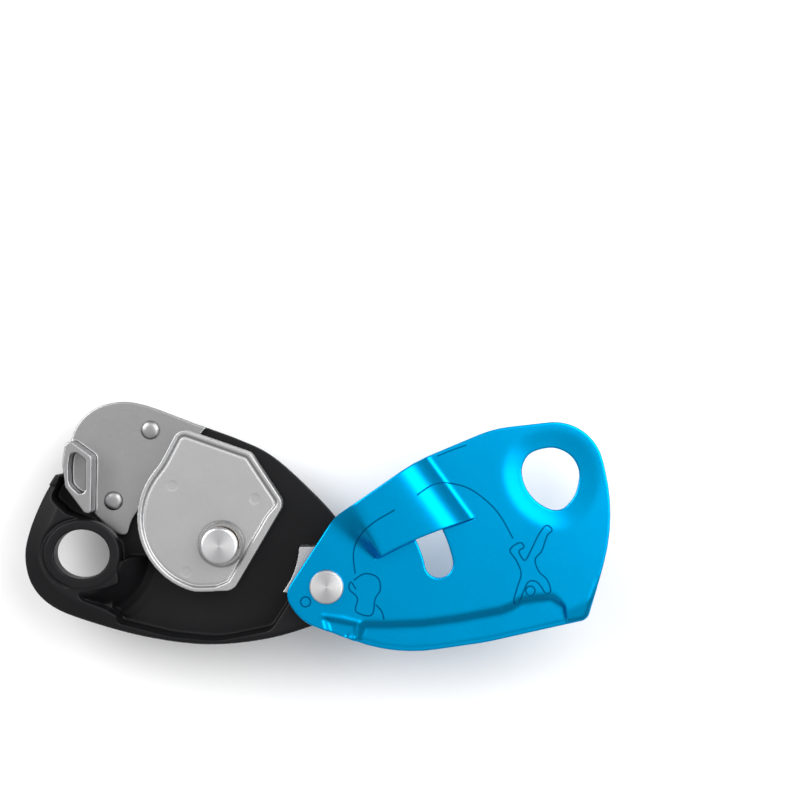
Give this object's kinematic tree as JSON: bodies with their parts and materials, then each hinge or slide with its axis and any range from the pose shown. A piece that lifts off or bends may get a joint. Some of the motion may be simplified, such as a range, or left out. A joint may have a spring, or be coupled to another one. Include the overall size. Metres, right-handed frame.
{
  "type": "assisted-braking belay device",
  "caption": "Cam-type belay device opened for threading a rope: tray, rope cam, swinging cover plate, folding release handle and mode selector.",
  "frame": {"origin": "under the middle of the open device, on the surface it lies on, back down", "axes": "+X along the open device from the fixed attachment eye to the moving plate's, +Y across it, +Z from the handle side to the cover side"},
  "size_m": [0.1595, 0.0673, 0.0356],
  "materials": {
    "black_anodised": "satin black anodised",
    "blue_anodised": "satin blue anodised",
    "stainless": "fine satin stainless",
    "steel": "turned steel",
    "spring_steel": "drawn wire",
    "bearing_bronze": "sintered bronze",
    "black_nylon": "moulded nylon",
    "grey_nylon": "moulded nylon",
    "grip_rubber": "moulded rubber"
  },
  "bodies": {
    "frame": {"stationary_side_plate": "black_anodised", "rope_guide_plate": "stainless", "guide_rivet_upper": "steel", "guide_rivet_lower": "steel", "friction_block": "steel", "friction_block_screw_upper": "steel", "friction_block_screw_lower": "steel", "side_plate_rivet": "steel", "side_plate_washer": "steel", "cam_axle": "steel", "axle_retaining_ring": "spring_steel", "rear_cover": "black_nylon", "cover_screw_left": "steel", "cover_screw_right": "steel", "cover_screw_top": "steel"},
    "cover_plate": {"moving_side_plate": "blue_anodised"},
    "rope_cam": {"cam": "stainless", "cam_bush": "bearing_bronze", "cam_drive_pin": "steel", "cam_return_spring": "spring_steel"},
    "release_hub": {"release_hub": "black_nylon", "release_hub_spring": "spring_steel", "handle_hinge_pin": "steel", "pawl_pin": "steel", "pawl_spring": "spring_steel"},
    "handle": {"handle_lever": "black_nylon", "handle_grip_pad": "grip_rubber", "handle_fold_spring": "spring_steel"},
    "pawl": {"anti_panic_pawl": "steel"},
    "selector": {"mode_selector_knob": "grey_nylon", "lock_button_spring": "spring_steel"},
    "lock_button": {"selector_lock_button": "black_nylon"}
  },
  "joints": [
    {"name": "cover_plate_swing", "type": "hinge", "parent": "frame", "child": "cover_plate", "pos_m": [0.0031, -0.0163, 0.029], "axis": [0, 0, 1], "range_deg": [0, 147.3]},
    {"name": "cam_swing", "type": "hinge", "parent": "frame", "child": "rope_cam", "pos_m": [-0.0258, -0.0052, 0.021], "axis": [0, 0, -1], "range_deg": [0, 25], "stiffness_Nm_per_rad": 0.12, "springref_deg": -20.05},
    {"name": "release_pull", "type": "hinge", "parent": "frame", "child": "release_hub", "pos_m": [-0.0258, -0.0052, 0.009], "axis": [0, 0, 1], "range_deg": [0, 60], "stiffness_Nm_per_rad": 0.06, "springref_deg": -20.05},
    {"name": "handle_fold", "type": "hinge", "parent": "release_hub", "child": "handle", "pos_m": [-0.01453, -0.0151, 0.0036], "axis": [-0.66, -0.7513, 0], "range_deg": [0, 160], "stiffness_Nm_per_rad": 0.02, "springref_deg": -28.65},
    {"name": "pawl_trip", "type": "hinge", "parent": "release_hub", "child": "pawl", "pos_m": [-0.02867, -0.01309, 0.0105], "axis": [0, 0, -1], "range_deg": [0, 7], "stiffness_Nm_per_rad": 0.005, "springref_deg": -17.19},
    {"name": "selector_turn", "type": "hinge", "parent": "frame", "child": "selector", "pos_m": [-0.0278, -0.0244, 0.003], "axis": [0, 0, 1], "range_deg": [0, 90]},
    {"name": "lock_button_press", "type": "slide", "parent": "selector", "child": "lock_button", "axis": [0, 0, 1], "range_m": [0, 0.0009], "stiffness_N_per_m": 500, "springref_m": -0.001, "deforming": ["lock_button_spring"]}
  ]
}
